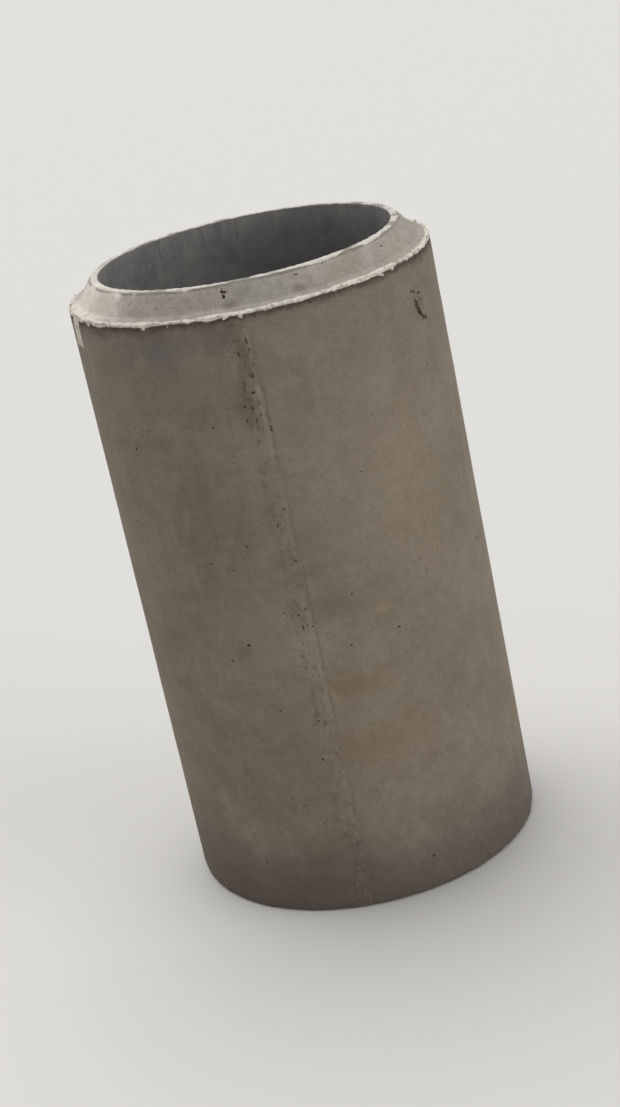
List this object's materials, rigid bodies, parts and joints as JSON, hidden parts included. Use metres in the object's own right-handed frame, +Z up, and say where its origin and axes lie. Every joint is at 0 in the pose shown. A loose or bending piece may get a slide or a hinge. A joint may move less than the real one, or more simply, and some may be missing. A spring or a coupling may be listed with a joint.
{
  "type": "concrete sewer pipe",
  "caption": "Short thick-walled plain concrete sewer pipe with a tapered spigot nose on one end and a matching socket recess in the other, standing on its socket end.",
  "frame": {"origin": "centre of the socket end's face, on the surface the pipe stands on", "axes": "+Z up along the bore axis, from the socket end to the spigot end; X and Y are any two square directions across the pipe"},
  "size_m": [0.5599, 0.56, 1],
  "materials": {
    "cast_concrete": "unpainted grey-brown concrete as it came from a steel mould, matt, with pinholes and a rough mortar edge at the spigot"
  },
  "bodies": {
    "root": {"pipe": "cast_concrete"}
  },
  "joints": []
}
